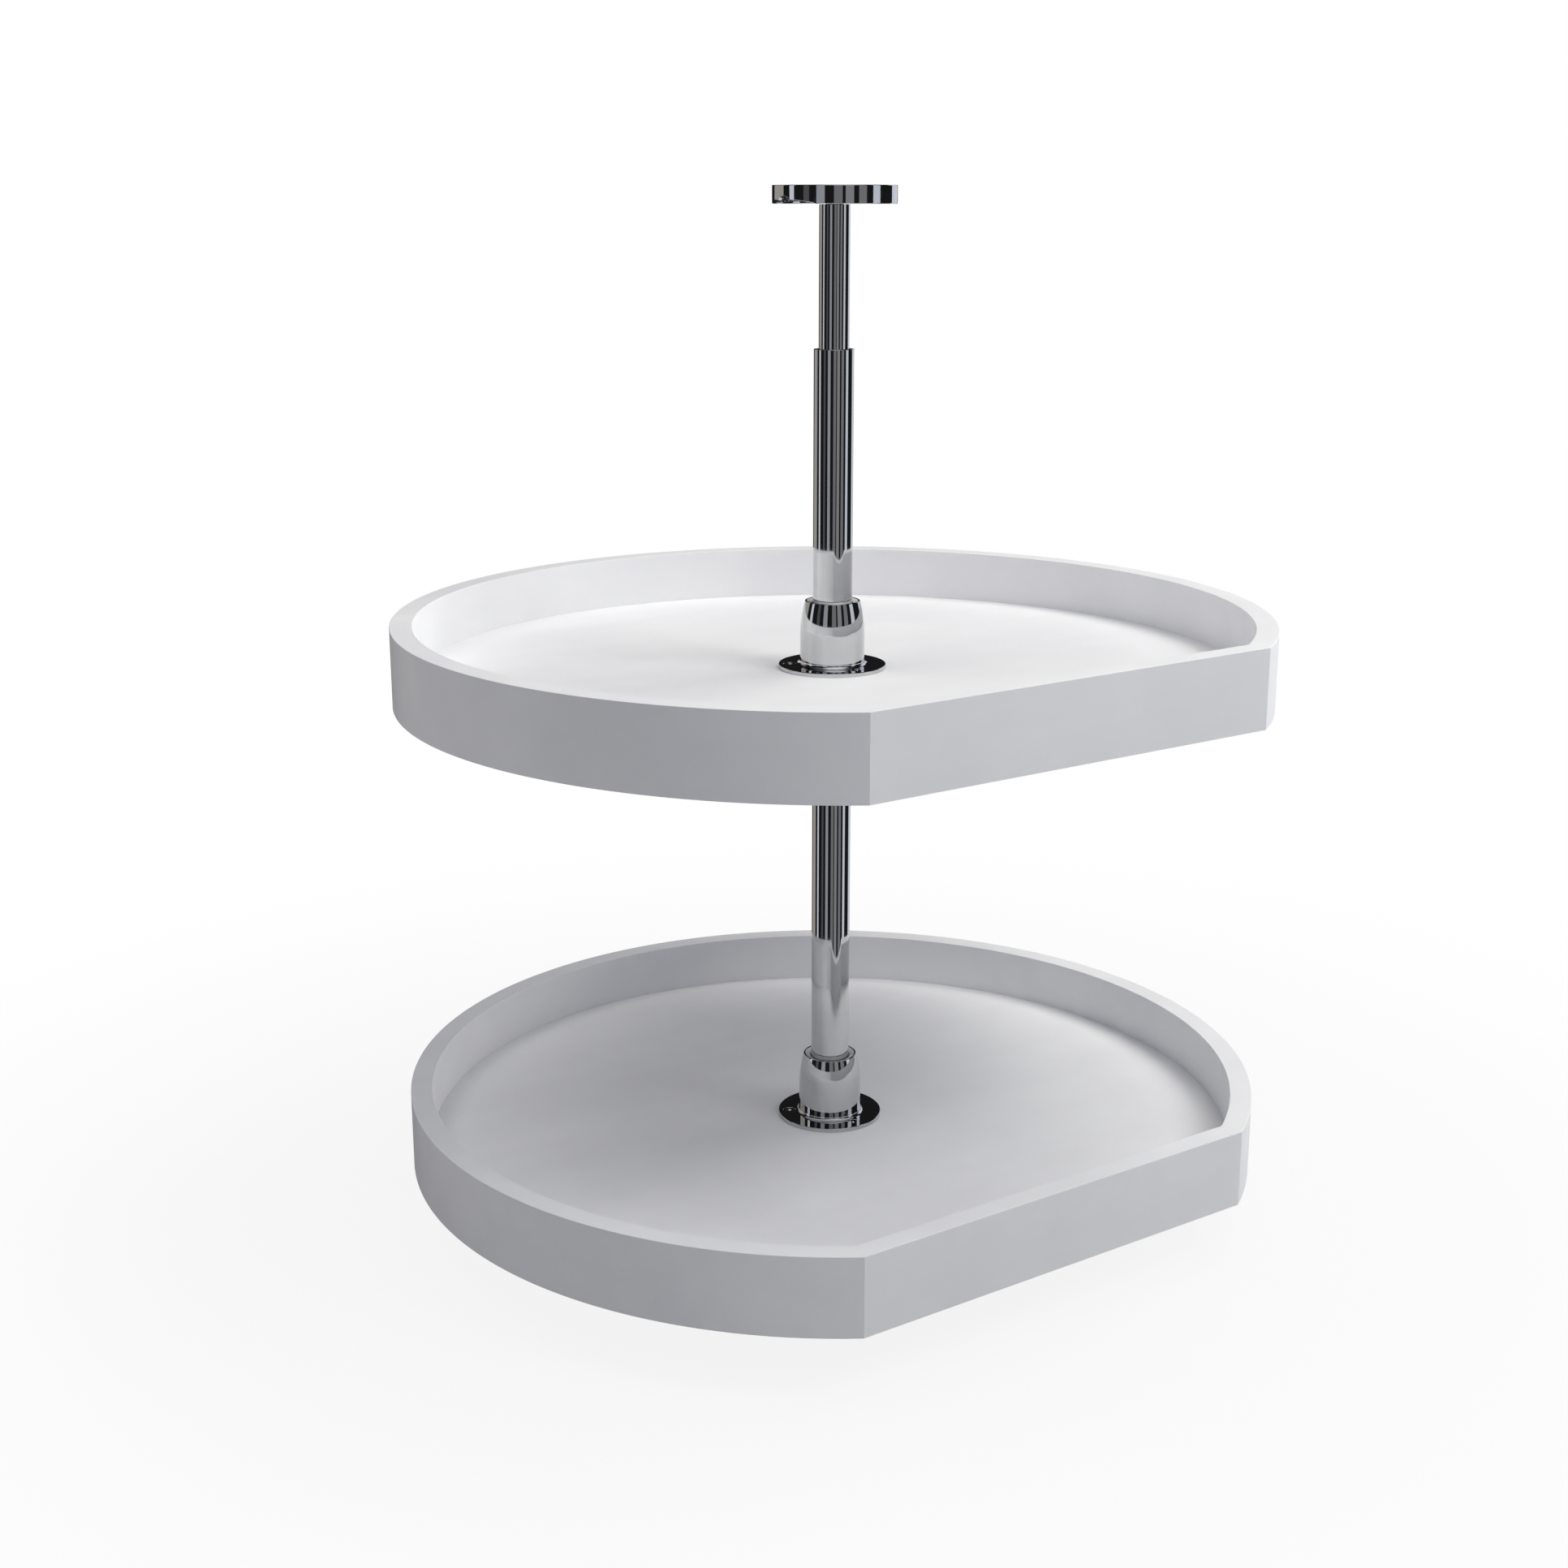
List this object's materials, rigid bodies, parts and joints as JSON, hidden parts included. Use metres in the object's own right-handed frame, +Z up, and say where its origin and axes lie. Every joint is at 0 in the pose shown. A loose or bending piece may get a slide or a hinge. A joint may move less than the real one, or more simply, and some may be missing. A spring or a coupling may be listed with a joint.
{
  "type": "corner carousel cabinet",
  "caption": "D-shaped banded trays that turn on hubs round a telescoping chrome pole, with round end plates for a corner cabinet's floor and top.",
  "frame": {"origin": "on the pole's axis, at the face of the floor plate that lies on the cabinet floor", "axes": "+Z up along the pole, -Y out of the straight side of the trays, +X to the right when looking at the straight side"},
  "size_m": [0.5588, 0.5167, 0.6604],
  "materials": {
    "tray_white": "smooth matt white lacquer over board, faintly mottled",
    "chrome": "bright polished chrome plate",
    "white_nylon": "smooth white nylon",
    "black_nylon": "smooth black nylon",
    "steel": "turned, zinc-plated steel",
    "brass": "turned brass"
  },
  "bodies": {
    "base": {"floor_plate": "chrome", "floor_washer": "black_nylon"},
    "pole": {"outer_tube": "chrome", "foot_plug": "black_nylon", "guide_bush": "black_nylon"},
    "lock": {"lock_sleeve": "black_nylon"},
    "cone": {"lock_cone": "brass"},
    "rod": {"inner_rod": "chrome", "top_pivot": "black_nylon", "lock_stud": "steel", "rod_plug": "steel"},
    "top": {"top_plate": "chrome"},
    "upper_collar": {"upper_stop_collar": "steel", "upper_collar_screw": "steel", "upper_thrust_washer": "steel"},
    "upper_tray": {"upper_base_panel": "tray_white", "upper_curved_band": "tray_white", "upper_front_band": "tray_white", "upper_hub": "chrome", "upper_hub_bush": "white_nylon", "upper_hub_screw_1": "chrome", "upper_hub_screw_2": "chrome", "upper_hub_screw_3": "chrome"},
    "lower_collar": {"lower_stop_collar": "steel", "lower_collar_screw": "steel", "lower_thrust_washer": "steel"},
    "lower_tray": {"lower_base_panel": "tray_white", "lower_curved_band": "tray_white", "lower_front_band": "tray_white", "lower_hub": "chrome", "lower_hub_bush": "white_nylon", "lower_hub_screw_1": "chrome", "lower_hub_screw_2": "chrome", "lower_hub_screw_3": "chrome"}
  },
  "joints": [
    {"name": "pole_turn", "type": "hinge", "parent": "base", "child": "pole", "pos_m": [0, 0, 0], "axis": [0, 0, 1], "continuous": true},
    {"name": "pole_slide", "type": "slide", "parent": "pole", "child": "lock", "axis": [0, 0, 1], "range_m": [-0.08, 0.15]},
    {"name": "twist_lock", "type": "hinge", "parent": "lock", "child": "rod", "pos_m": [0, 0, 0], "axis": [0, 0, 1], "range_deg": [0, 360]},
    {"name": "cone_slide", "type": "slide", "parent": "lock", "child": "cone", "axis": [0, 0, 1], "range_m": [-0.002, 0]},
    {"name": "top_plate_turn", "type": "hinge", "parent": "rod", "child": "top", "pos_m": [0, 0, 0], "axis": [0, 0, 1], "continuous": true},
    {"name": "upper_collar_slide", "type": "slide", "parent": "pole", "child": "upper_collar", "axis": [0, 0, 1], "range_m": [-0.1, 0.12]},
    {"name": "upper_tray_turn", "type": "hinge", "parent": "upper_collar", "child": "upper_tray", "pos_m": [0, 0, 0], "axis": [0, 0, 1], "continuous": true},
    {"name": "lower_collar_slide", "type": "slide", "parent": "pole", "child": "lower_collar", "axis": [0, 0, 1], "range_m": [-0.007, 0.1]},
    {"name": "lower_tray_turn", "type": "hinge", "parent": "lower_collar", "child": "lower_tray", "pos_m": [0, 0, 0], "axis": [0, 0, 1], "continuous": true}
  ],
  "couplings": [
    {"joint": "cone_slide", "follows": "twist_lock", "m_per_rad": -0.0003183}
  ]
}
